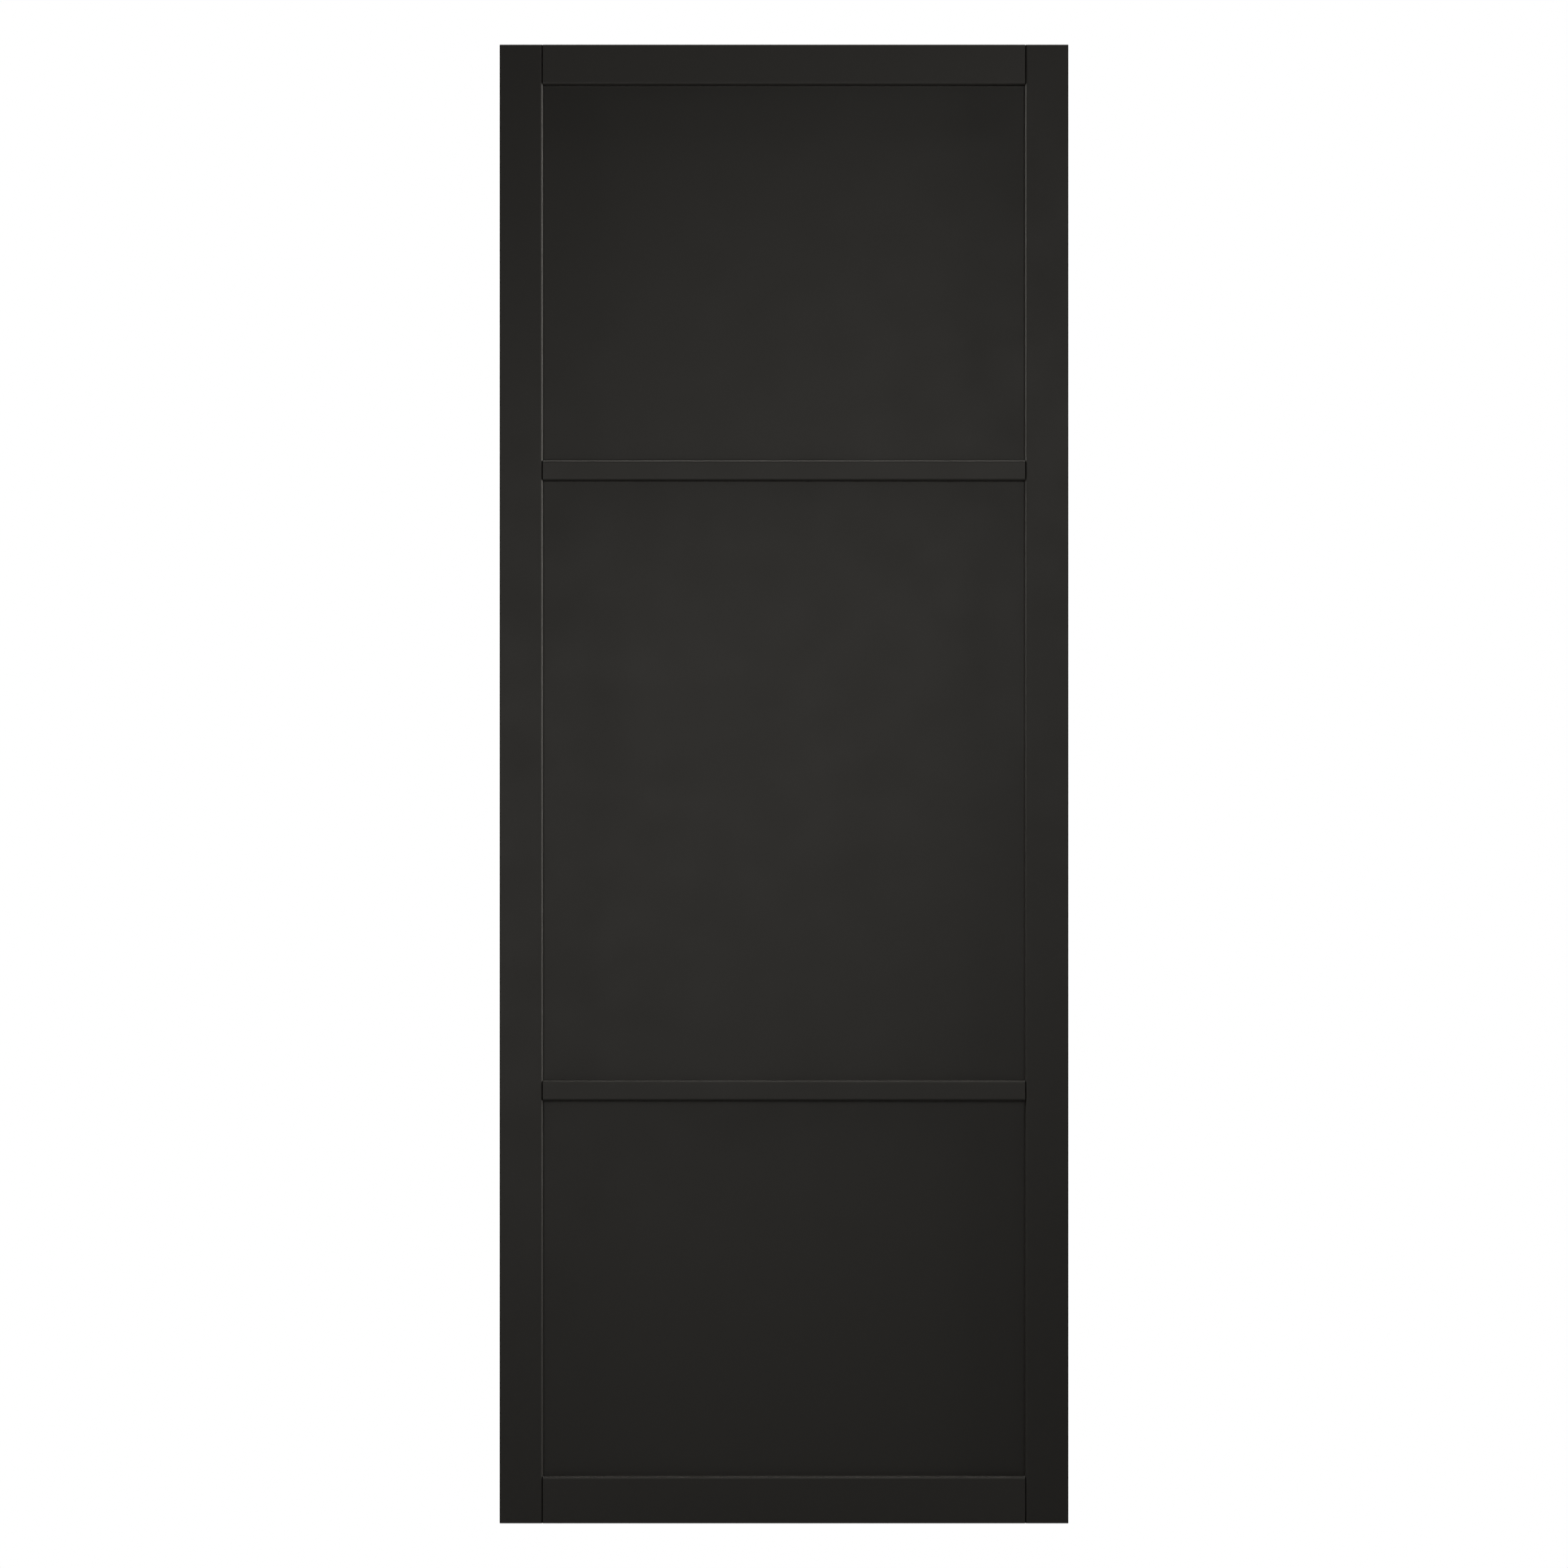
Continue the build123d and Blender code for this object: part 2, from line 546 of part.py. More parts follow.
with BuildPart() as wheel_carrier:
    span_box(
        (unit_x(CARRIER_U[0]), unit_x(CARRIER_U[1])),
        (-CARRIER_HALF_WIDTH, CARRIER_HALF_WIDTH),
        (CARRIER_BOTTOM, CARRIER_TOP),
    )
    fillet(wheel_carrier.edges().filter_by(Axis.Y), 4.0)
    inside_y = CARRIER_HALF_WIDTH - CARRIER_WALL
    span_box(
        (unit_x(CARRIER_U[0]), unit_x(CARRIER_U[1])),
        (-inside_y, inside_y),
        (CARRIER_BOTTOM + CARRIER_WALL, CARRIER_TOP),
        Mode.SUBTRACT,
    )
    window = WHEEL_RADIUS + 1.2
    span_box(
        (unit_x(WHEEL_U - window), unit_x(WHEEL_U + window)),
        (-inside_y, inside_y),
        (CARRIER_BOTTOM, CARRIER_BOTTOM + CARRIER_WALL),
        Mode.SUBTRACT,
    )
    for u in PIN_U:
        rod(
            across(unit_x(u), PIN_HEIGHT),
            PIN_RADIUS,
            -CARRIER_HALF_WIDTH,
            CARRIER_HALF_WIDTH,
            Mode.SUBTRACT,
        )
    rod(wheel_plane, AXLE_RADIUS, -CARRIER_HALF_WIDTH, CARRIER_HALF_WIDTH, Mode.SUBTRACT)
save_pair(wheel_carrier, "wheel_carrier")

with BuildPart() as cam_pins:
    for u in PIN_U:
        rod(across(unit_x(u), PIN_HEIGHT), PIN_RADIUS, -PIN_HALF_LENGTH, PIN_HALF_LENGTH)
    chamfer(cam_pins.edges().filter_by(GeomType.CIRCLE), 0.3)
save_pair(cam_pins, "cam_pins")

with BuildPart() as axle:
    rod(wheel_plane, AXLE_RADIUS, -CARRIER_HALF_WIDTH, CARRIER_HALF_WIDTH)
    chamfer(axle.edges().filter_by(GeomType.CIRCLE), 0.3)
save_pair(axle, "axle")


def ring(outer, inner, half_width):
    """A ring round the wheel's axis."""
    rod(wheel_plane, outer, -half_width, half_width)
    rod(wheel_plane, inner, -half_width, half_width, Mode.SUBTRACT)


with BuildPart() as bearing_inner_ring:
    ring(INNER_RING_RADIUS, AXLE_RADIUS, CARRIER_HALF_WIDTH - CARRIER_WALL - 0.1)
save_pair(bearing_inner_ring, "bearing_inner_ring")

with BuildPart() as bearing_outer_ring:
    ring(OUTER_RING_RADIUS, OUTER_RING_BORE, 2.5)
save_pair(bearing_outer_ring, "bearing_outer_ring")

with BuildPart() as bearing_balls:
    ball_circle = (INNER_RING_RADIUS + OUTER_RING_BORE) / 2
    with Locations(wheel_plane):
        with PolarLocations(ball_circle, BALL_COUNT):
            Sphere(BALL_RADIUS)
save_pair(bearing_balls, "bearing_balls")

with BuildPart() as wheel:
    ring(WHEEL_RADIUS, OUTER_RING_RADIUS, WHEEL_HALF_WIDTH)
    chamfer(wheel.edges().filter_by(GeomType.CIRCLE).group_by(SortBy.RADIUS)[-1], 0.6)
    with Locations(wheel_plane):  # groove that runs on the track's rail
        Torus(WHEEL_RADIUS + 0.4, RAIL_GROOVE_RADIUS, mode=Mode.SUBTRACT)
save_pair(wheel, "wheel")

# ---------------------------------------------------------------- top guide unit
bolt_half_x = CASE_HALF[0] - CASE_WALL[0] - BOLT_GAP
bolt_half_y = CASE_HALF[1] - CASE_WALL[1] - BOLT_GAP
guide_axis = upright(-GUIDE_X, 0)
neck_x = (-GUIDE_X - THUMB_NECK_HALF_WIDTH, -GUIDE_X + THUMB_NECK_HALF_WIDTH)
neck_z = (THUMB_HEIGHT - THUMB_NECK_HALF_WIDTH, THUMB_HEIGHT + THUMB_NECK_HALF_WIDTH)
neck_start = bolt_half_y - THUMB_NECK_ENTRY

with BuildPart() as guide_case:
    half_x, half_y = CASE_HALF
    span_box(
        (-GUIDE_X - half_x, -GUIDE_X + half_x),
        (-half_y, half_y),
        (CASE_BOTTOM, DOOR_HEIGHT - CASE_FLANGE_THICKNESS),
    )
    with BuildSketch(Plane.XY.offset(DOOR_HEIGHT - CASE_FLANGE_THICKNESS)):
        with Locations((-GUIDE_X, 0)):
            RectangleRounded(2 * CASE_FLANGE_HALF_LENGTH, 2 * half_y, 4)
    extrude(amount=CASE_FLANGE_THICKNESS)
    span_box(
        (-GUIDE_X - half_x + CASE_WALL[0], -GUIDE_X + half_x - CASE_WALL[0]),
        (-half_y + CASE_WALL[1], half_y - CASE_WALL[1]),
        (CASE_BOTTOM + 2, DOOR_HEIGHT),
        Mode.SUBTRACT,
    )
    with BuildSketch(across(-GUIDE_X, thumb_slot_middle)):
        SlotOverall(thumb_slot_length, 2 * THUMB_SLOT_HALF_WIDTH, rotation=90)
    extrude(amount=half_y, mode=Mode.SUBTRACT)
    for plane in guide_screw_planes(-GUIDE_X):
        screw_hole(plane, CASE_FLANGE_THICKNESS)
save_pair(guide_case, "guide_case")

with BuildPart() as guide_screws:
    for x in (-GUIDE_X, GUIDE_X):
        for plane in guide_screw_planes(x):
            wood_screw(plane, GUIDE_SCREW_LENGTH)
save(guide_screws, "guide_screws")

with BuildPart() as slot_bezel:
    with BuildSketch(across(-GUIDE_X, thumb_slot_middle).offset(CASE_HALF[1] + POCKET_GAP)):
        SlotOverall(bezel_body_length, 2 * BEZEL_BODY_HALF_WIDTH, rotation=90)
    extrude(amount=HALF_THICKNESS - CASE_HALF[1] - POCKET_GAP)
    with BuildSketch(across(-GUIDE_X, thumb_slot_middle).offset(HALF_THICKNESS)):
        SlotOverall(bezel_length, 2 * BEZEL_HALF_WIDTH, rotation=90)
    extrude(amount=BEZEL_LIP)
    fillet(slot_bezel.faces().sort_by(Axis.Y)[-1].edges(), 0.5)
    with BuildSketch(across(-GUIDE_X, thumb_slot_middle)):
        SlotOverall(thumb_slot_length, 2 * THUMB_SLOT_HALF_WIDTH, rotation=90)
    extrude(amount=HALF_THICKNESS + BEZEL_LIP, mode=Mode.SUBTRACT)
save_pair(slot_bezel, "slot_bezel")

with BuildPart() as guide_bolt:
    span_box(
        (-GUIDE_X - bolt_half_x, -GUIDE_X + bolt_half_x),
        (-bolt_half_y, bolt_half_y),
        (BOLT_BOTTOM, BOLT_TOP),
    )
    chamfer(guide_bolt.edges(), 0.6)
    rod(guide_axis, 4.5, BOLT_TOP, GUIDE_ROLLER_BOTTOM - 0.4)
    rod(guide_axis, GUIDE_PIN_RADIUS, PIN_ENTRY_HEIGHT, GUIDE_ROLLER_BOTTOM, Mode.SUBTRACT)
    span_box(neck_x, (neck_start, bolt_half_y), neck_z, Mode.SUBTRACT)
save_pair(guide_bolt, "guide_bolt")

with BuildPart() as guide_pin:
    rod(guide_axis, GUIDE_PIN_RADIUS, PIN_ENTRY_HEIGHT, GUIDE_ROLLER_TOP + 0.4)
    rod(guide_axis, 3.6, GUIDE_ROLLER_TOP + 0.4, GUIDE_ROLLER_TOP + 2.0)
    fillet(guide_pin.edges().group_by(Axis.Z)[-1], 0.8)
save_pair(guide_pin, "guide_pin")

with BuildPart() as guide_roller:
    rod(guide_axis, GUIDE_ROLLER_RADIUS, GUIDE_ROLLER_BOTTOM, GUIDE_ROLLER_TOP)
    fillet(guide_roller.edges().filter_by(GeomType.CIRCLE), 1.2)
    rod(guide_axis, GUIDE_PIN_RADIUS + 0.1, GUIDE_ROLLER_BOTTOM, GUIDE_ROLLER_TOP, Mode.SUBTRACT)
save_pair(guide_roller, "guide_roller")

with BuildPart() as thumb_slide:
    button_start = HALF_THICKNESS + BEZEL_LIP + THUMB_BUTTON_GAP
    thumb_plane = across(-GUIDE_X, THUMB_HEIGHT)
    span_box(neck_x, (neck_start, button_start), neck_z)
    with BuildSketch(thumb_plane.offset(button_start)):
        RectangleRounded(THUMB_BUTTON_WIDTH, THUMB_BUTTON_WIDTH, 2)
    extrude(amount=THUMB_BUTTON_THICKNESS)
    fillet(thumb_slide.faces().sort_by(Axis.Y)[-1].edges(), 1.0)
    with BuildSketch(thumb_plane.offset(button_start + THUMB_BUTTON_THICKNESS)):  # grip grooves
        with GridLocations(1, 2.4, 1, 4):
            Rectangle(9.0, 0.9)
    extrude(amount=-0.7, mode=Mode.SUBTRACT)
save_pair(thumb_slide, "thumb_slide")

# ---------------------------------------------------------------- anti-jump blocks
block_plane = across(-BLOCK_X, BLOCK_SCREW_HEIGHT)
with BuildPart() as anti_jump_block:
    span_box(
        (-BLOCK_X - BLOCK_HALF_WIDTH, -BLOCK_X + BLOCK_HALF_WIDTH),
        (HALF_THICKNESS, HALF_THICKNESS + BLOCK_THICKNESS),
        (BLOCK_BOTTOM, BLOCK_TOP),
    )
    fillet(anti_jump_block.edges().filter_by(Axis.Y), 3.0)
    fillet(anti_jump_block.faces().sort_by(Axis.Y)[-1].edges(), 1.2)
    slot_plane = across(-BLOCK_X, BLOCK_SCREW_HEIGHT + BLOCK_TRAVEL / 2)
    with BuildSketch(slot_plane.offset(HALF_THICKNESS)):
        SlotCenterToCenter(BLOCK_TRAVEL + SLOT_OVERRUN, 2 * (SCREW_SHANK + 0.3), rotation=90)
    extrude(amount=BLOCK_THICKNESS, mode=Mode.SUBTRACT)
    recess_floor = HALF_THICKNESS + BLOCK_THICKNESS - BLOCK_RECESS_DEPTH
    with BuildSketch(slot_plane.offset(recess_floor)):
        SlotCenterToCenter(BLOCK_TRAVEL + SLOT_OVERRUN, 2 * BLOCK_RECESS_RADIUS, rotation=90)
    extrude(amount=BLOCK_RECESS_DEPTH, mode=Mode.SUBTRACT)
save_pair(anti_jump_block, "anti_jump_block")

with BuildPart() as anti_jump_screws:
    washer_start = recess_floor + 0.1
    head_start = washer_start + WASHER_THICKNESS
    for side in (-1, 1):
        screw_plane = block_screw_plane(side, 0)
        rod(screw_plane, SCREW_SHANK, BLOCK_SCREW_TIP, washer_start)
        rod(screw_plane, WASHER_RADIUS, washer_start, head_start)
        with BuildSketch(screw_plane.offset(head_start)):
            Circle(PAN_HEAD_RADIUS)
        extrude(amount=PAN_HEAD_HEIGHT, taper=12)
        cross_recess(screw_plane.offset(head_start + PAN_HEAD_HEIGHT))
save(anti_jump_screws, "anti_jump_screws")

# ---------------------------------------------------------------- rear brush strips
brush_z = (BRUSH_END_GAP, DOOR_HEIGHT - BRUSH_END_GAP)
with BuildPart() as brush_base:
    span_box(
        (-BRUSH_X - BRUSH_BASE_HALF_WIDTH, -BRUSH_X + BRUSH_BASE_HALF_WIDTH),
        (HALF_THICKNESS, HALF_THICKNESS + BRUSH_BASE_THICKNESS),
        brush_z,
    )
save_pair(brush_base, "brush_base")

with BuildPart() as brush_pile:
    pile_start = HALF_THICKNESS + BRUSH_BASE_THICKNESS
    span_box(
        (-BRUSH_X - PILE_HALF_WIDTH, -BRUSH_X + PILE_HALF_WIDTH),
        (pile_start, pile_start + PILE_HEIGHT),
        brush_z,
    )
save_pair(brush_pile, "brush_pile")

# ---------------------------------------------------------------- adjuster caps
with BuildPart() as adjuster_cap:
    cap_plane = along(0, SCREW_HEIGHT)
    rod(cap_plane, CAP_RADIUS, -HALF_WIDTH, -HALF_WIDTH + CAP_THICKNESS)
    shank_radius = ACCESS_BORE_RADIUS - 0.1
    shank_start = -HALF_WIDTH + CAP_THICKNESS
    shank_end = -HALF_WIDTH + CAP_SHANK_LENGTH
    rod(cap_plane, shank_radius, shank_start, shank_end)
    rod(cap_plane, shank_radius - CAP_SHANK_WALL, shank_start, shank_end, Mode.SUBTRACT)
save_pair(adjuster_cap, "adjuster_cap")
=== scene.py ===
# Looks for a sliding wardrobe door. The CAD nodes keep their shapes and get their finishes here;
# the rear brush strips get real fibres and the adjuster screws get threads. Everything is in
# metres, in the CAD frame.

import logging
import math
from dataclasses import dataclass, field
from enum import Enum

import bpy
import numpy as np
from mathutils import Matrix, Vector


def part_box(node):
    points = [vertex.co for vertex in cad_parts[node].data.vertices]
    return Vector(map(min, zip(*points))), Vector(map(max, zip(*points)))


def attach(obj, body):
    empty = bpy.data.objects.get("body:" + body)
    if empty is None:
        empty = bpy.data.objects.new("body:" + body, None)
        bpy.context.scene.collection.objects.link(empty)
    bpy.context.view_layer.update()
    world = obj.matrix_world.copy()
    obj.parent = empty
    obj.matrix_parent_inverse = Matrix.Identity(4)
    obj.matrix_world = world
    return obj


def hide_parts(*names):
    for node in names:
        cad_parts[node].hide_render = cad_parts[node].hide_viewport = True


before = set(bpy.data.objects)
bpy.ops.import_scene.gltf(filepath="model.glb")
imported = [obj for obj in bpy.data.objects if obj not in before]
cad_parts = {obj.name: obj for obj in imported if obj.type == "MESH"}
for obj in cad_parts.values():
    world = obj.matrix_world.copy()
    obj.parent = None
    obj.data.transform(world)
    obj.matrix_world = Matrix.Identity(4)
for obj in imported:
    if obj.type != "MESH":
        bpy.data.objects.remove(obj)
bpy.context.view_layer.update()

LOG = logging.getLogger("wardrobe_door")
MM = 0.001
SIDES: dict[str, int] = {"left": -1, "right": 1}

# The sRGB transfer curve: a straight toe, then a power.
SRGB_TOE_END = 0.04045
SRGB_TOE_SLOPE = 12.92
SRGB_OFFSET = 0.055
SRGB_POWER = 2.4

# The Mix node's sockets share their names, so they go by number.
MIX_FACTOR, MIX_VALUE_A, MIX_VALUE_B, MIX_COLOUR_A, MIX_COLOUR_B = 0, 2, 3, 6, 7
MIX_COLOUR_RESULT = 2

# What all finishes share. Each span is about what the noise covers, and the ends beyond it are
# clipped: PATCH_SPAN for the patches alone, which set roughness, and TINT_SPAN for patches plus
# relief, which set the tint. Red light goes furthest under a surface.
PATCH_DETAIL = 4.0
GRAIN_DETAIL = 3.0
WEAVE_DISTORTION = 0.4
PATCH_SPAN = (0.3, 0.7)
TINT_SPAN = (0.6, 1.4)
SUBSURFACE_WEIGHT = 0.5
SUBSURFACE_REACH = (1.0, 0.9, 0.7)


# ---------------------------------------------------------------- shader helpers
def linear(hex_colour: str) -> tuple[float, float, float, float]:
    """Turns an sRGB hex colour into linear light.

    Args:
        hex_colour: six hex digits, such as "1f1e1c".

    Returns:
        Red, green, blue and an alpha of 1.
    """
    red, green, blue = (
        channel / SRGB_TOE_SLOPE
        if channel <= SRGB_TOE_END
        else ((channel + SRGB_OFFSET) / (1.0 + SRGB_OFFSET)) ** SRGB_POWER
        for channel in (int(hex_colour[i : i + 2], 16) / 255 for i in (0, 2, 4))
    )
    return red, green, blue, 1.0


def clear_tree(owner: bpy.types.Material | bpy.types.World) -> bpy.types.NodeTree:
    """Gives a material or a world an empty node tree.

    Args:
        owner: what the tree belongs to.

    Returns:
        Its node tree.
    """
    owner.use_nodes = True
    owner.node_tree.nodes.clear()
    return owner.node_tree


def add_node(
    tree: bpy.types.NodeTree,
    kind: str,
    inputs: dict[str | int, object] | None = None,
    **settings: object,
) -> bpy.types.Node:
    """Adds one shader node with its settings, values and links.

    Args:
        tree: the material's or the world's node tree.
        kind: the node's Blender type.
        inputs: input name or number to a value, or to an output socket to link from.
        settings: the node's own properties.

    Returns:
        The new node.
    """
    node = tree.nodes.new(kind)
    for name, value in settings.items():
        setattr(node, name, value)
    for key, value in (inputs or {}).items():
        if isinstance(value, bpy.types.NodeSocket):
            tree.links.new(value, node.inputs[key])
        else:
            node.inputs[key].default_value = value
    return node


# ---------------------------------------------------------------- finishes
class Surface(Enum):
    """How a surface was made, which decides the relief drawn on it."""

    SMOOTH = "even noise, as on foil, moulded plastic and rubber"
    CELLS = "small rounded cells, as on a casting or a zinc plate"
    WEAVE = "two sets of ridges, one across the other, as on tape"


@dataclass(frozen=True)
class Finish:
    """One real material and its surface.

    Colours are sRGB hex, and sizes are in millimetres: patch_mm is how wide the slow changes of
    tint are, grain_mm how wide the relief's pattern is, and relief_mm how deep. The roughness
    runs between its two values from patch to patch. A stretch under 1 draws the pattern longer
    along that axis.
    """

    name: str
    surface: Surface
    dark: str
    light: str
    patch_mm: float
    grain_mm: float
    relief_mm: float
    roughness: tuple[float, float]
    metallic: float = 0.0
    ior: float = 1.5
    stretch: tuple[float, float, float] = (1.0, 1.0, 1.0)
    subsurface_mm: float = 0.0
    sheen: float = 0.0

    def relief(self, tree: bpy.types.NodeTree, place: bpy.types.NodeSocket) -> bpy.types.NodeSocket:
        """Draws the fine relief of the surface.

        Args:
            tree: the material's node tree.
            place: stretched Object coordinates, in metres.

        Returns:
            The relief's height, from 0 to 1.
        """
        per_metre = 1.0 / (self.grain_mm * MM)
        if self.surface is Surface.WEAVE:
            # A wave texture at scale 1 has a band every 2 * pi / 20 units, so this scale sets the
            # ridges 0.63 of grain_mm apart.
            wave = {"Vector": place, "Scale": per_metre / 2, "Distortion": WEAVE_DISTORTION}
            ridges = (
                add_node(tree, "ShaderNodeTexWave", wave, bands_direction=axis).outputs["Fac"]
                for axis in ("X", "Z")
            )
            crossed = dict(enumerate(ridges))
            return add_node(tree, "ShaderNodeMath", crossed, operation="MULTIPLY").outputs[0]
        if self.surface is Surface.CELLS:
            cells = {"Vector": place, "Scale": per_metre}
            voronoi = add_node(tree, "ShaderNodeTexVoronoi", cells, feature="SMOOTH_F1")
            return voronoi.outputs["Distance"]
        grain = {"Vector": place, "Scale": per_metre, "Detail": GRAIN_DETAIL}
        return add_node(tree, "ShaderNodeTexNoise", grain).outputs["Fac"]

    def make(self) -> bpy.types.Material:
        """Builds the material.

        Returns:
            A material whose tint, roughness and relief are procedural.
        """
        material = bpy.data.materials.new(self.name)
        tree = clear_tree(material)
        coordinates = add_node(tree, "ShaderNodeTexCoord").outputs["Object"]
        place = add_node(
            tree, "ShaderNodeMapping", {"Vector": coordinates, "Scale": self.stretch}
        ).outputs[0]
        patches = add_node(
            tree,
            "ShaderNodeTexNoise",
            {"Vector": place, "Scale": 1.0 / (self.patch_mm * MM), "Detail": PATCH_DETAIL},
        ).outputs["Fac"]
        height = self.relief(tree, place)
        both = add_node(tree, "ShaderNodeMath", {0: patches, 1: height}, operation="ADD").outputs[0]
        shade = add_node(
            tree,
            "ShaderNodeMapRange",
            {"Value": both, "From Min": TINT_SPAN[0], "From Max": TINT_SPAN[1]},
        ).outputs[0]
        tint = add_node(
            tree,
            "ShaderNodeMix",
            {MIX_FACTOR: shade, MIX_COLOUR_A: linear(self.dark), MIX_COLOUR_B: linear(self.light)},
            data_type="RGBA",
        ).outputs[MIX_COLOUR_RESULT]
        rough = add_node(
            tree,
            "ShaderNodeMapRange",
            {
                "Value": patches,
                "From Min": PATCH_SPAN[0],
                "From Max": PATCH_SPAN[1],
                "To Min": self.roughness[0],
                "To Max": self.roughness[1],
            },
        ).outputs[0]
        bump = add_node(
            tree, "ShaderNodeBump", {"Height": height, "Distance": self.relief_mm * MM}
        ).outputs[0]
        settings: dict[str | int, object] = {
            "Base Color": tint,
            "Roughness": rough,
            "Normal": bump,
            "Metallic": self.metallic,
            "Sheen Weight": self.sheen,
        }
        if self.metallic == 0.0:
            settings["IOR"] = self.ior
        if self.subsurface_mm > 0.0:
            settings["Subsurface Weight"] = SUBSURFACE_WEIGHT
            settings["Subsurface Radius"] = SUBSURFACE_REACH
            settings["Subsurface Scale"] = self.subsurface_mm * MM
        shader = add_node(tree, "ShaderNodeBsdfPrincipled", settings)
        add_node(tree, "ShaderNodeOutputMaterial", {"Surface": shader.outputs[0]})
        return material


# Satin black foil pulled tight over smooth board: even, faintly warm, with a soft wide sheen.
BLACK_FOIL = Finish(
    "satin_black_foil_on_board", Surface.SMOOTH, "1c1b1a", "1e1d1b",
    patch_mm=70.0, grain_mm=1.1, relief_mm=0.002, roughness=(0.48, 0.52),
)
# Turned and planed beech: pale pinkish wood with short darker flecks along the dowel.
BEECH = Finish(
    "planed_beech", Surface.SMOOTH, "b58a5f", "d9b78c",
    patch_mm=12.0, grain_mm=1.2, relief_mm=0.03, roughness=(0.55, 0.70), stretch=(0.12, 1.0, 1.0),
)
# Extruded black rubber: matt, with hardly a highlight.
PAD_RUBBER = Finish(
    "extruded_rubber", Surface.SMOOTH, "161616", "1e1e1e",
    patch_mm=6.0, grain_mm=0.5, relief_mm=0.02, roughness=(0.75, 0.85), ior=1.52,
)
# Rolled steel under clear zinc plate: bluish silver with a faint cloud of warm and cool patches.
ZINC_PLATE = Finish(
    "clear_zinc_plated_steel", Surface.CELLS, "a9adb3", "c9c8c0",
    patch_mm=9.0, grain_mm=0.7, relief_mm=0.004, roughness=(0.24, 0.38), metallic=1.0,
)
# Ground and polished bearing steel: bright, with tight highlights.
GROUND_STEEL = Finish(
    "ground_bearing_steel", Surface.SMOOTH, "b4b5b7", "cfd0d1",
    patch_mm=4.0, grain_mm=0.25, relief_mm=0.001, roughness=(0.12, 0.20), metallic=1.0,
)
# Steel blacked in hot oxide: near black with a dull metal shine.
BLACK_OXIDE = Finish(
    "black_oxide_steel", Surface.SMOOTH, "26272a", "34353a",
    patch_mm=3.0, grain_mm=0.3, relief_mm=0.002, roughness=(0.34, 0.46), metallic=1.0,
)
# Zinc alloy as it left the die: mid grey, slightly pebbled and dull.
CAST_ZINC = Finish(
    "die_cast_zinc", Surface.CELLS, "7d7f83", "97999c",
    patch_mm=5.0, grain_mm=0.8, relief_mm=0.02, roughness=(0.42, 0.55), metallic=1.0,
)
# Natural nylon from the mould: warm ivory, and light goes a little way in.
NYLON = Finish(
    "moulded_natural_nylon", Surface.SMOOTH, "d3ccb8", "e0dac8",
    patch_mm=8.0, grain_mm=0.5, relief_mm=0.004, roughness=(0.34, 0.42), ior=1.53,
    subsurface_mm=1.2,
)
# Black ABS from a spark-eroded mould: a fine even grit that spreads the highlight.
BLACK_ABS = Finish(
    "spark_grained_black_abs", Surface.SMOOTH, "1b1b1c", "222223",
    patch_mm=10.0, grain_mm=0.35, relief_mm=0.02, roughness=(0.48, 0.58), ior=1.53,
)
# Narrow black tape that carries the pile: a plain weave, its ridges drawn 0.5 mm apart, coarser
# than real ones, so that they show.
BACKING_TAPE = Finish(
    "woven_backing_tape", Surface.WEAVE, "191919", "2a2a2a",
    patch_mm=6.0, grain_mm=0.8, relief_mm=0.08, roughness=(0.80, 0.90), sheen=0.2,
)
# Cut polypropylene fibres: charcoal, each a little lighter or darker, with a soft sheen along
# the tips.
PILE_FIBRE = Finish(
    "cut_polypropylene_fibre", Surface.SMOOTH, "131313", "333332",
    patch_mm=1.6, grain_mm=0.4, relief_mm=0.01, roughness=(0.55, 0.70), ior=1.49, sheen=0.3,
)


@dataclass
class Dresser:
    """Gives CAD nodes their finishes, making each material once."""

    made: dict[str, bpy.types.Material] = field(default_factory=dict)

    def material(self, finish: Finish) -> bpy.types.Material:
        """Finds or makes a finish's material.

        Args:
            finish: what the piece is made of.

        Returns:
            The one material of that finish.
        """
        if finish.name not in self.made:
            self.made[finish.name] = finish.make()
        return self.made[finish.name]

    def dress(self, finish: Finish, *nodes: str) -> None:
        """Puts a finish on CAD nodes.

        Args:
            finish: what they are made of.
            nodes: CAD node names.
        """
        for node in nodes:
            for slot in bpy.data.objects[node].material_slots:
                slot.material = self.material(finish)
            LOG.info("dressed %s in %s", node, finish.name)


# ---------------------------------------------------------------- meshes
def mesh_piece(
    name: str, points: np.ndarray, faces: np.ndarray, material: bpy.types.Material
) -> bpy.types.Object:
    """Makes one piece from arrays.

    Args:
        name: the piece's name.
        points: (count, 3) places in metres, in the CAD frame.
        faces: (count, 3) or (count, 4) corner numbers, counter-clockwise from outside.
        material: its finish.

    Returns:
        The linked object, at the origin.
    """
    mesh = bpy.data.meshes.new(name)
    mesh.from_pydata(points.tolist(), [], faces.tolist())
    mesh.materials.append(material)
    mesh.validate()
    mesh.update()
    piece = bpy.data.objects.new(name, mesh)
    bpy.context.scene.collection.objects.link(piece)
    return piece


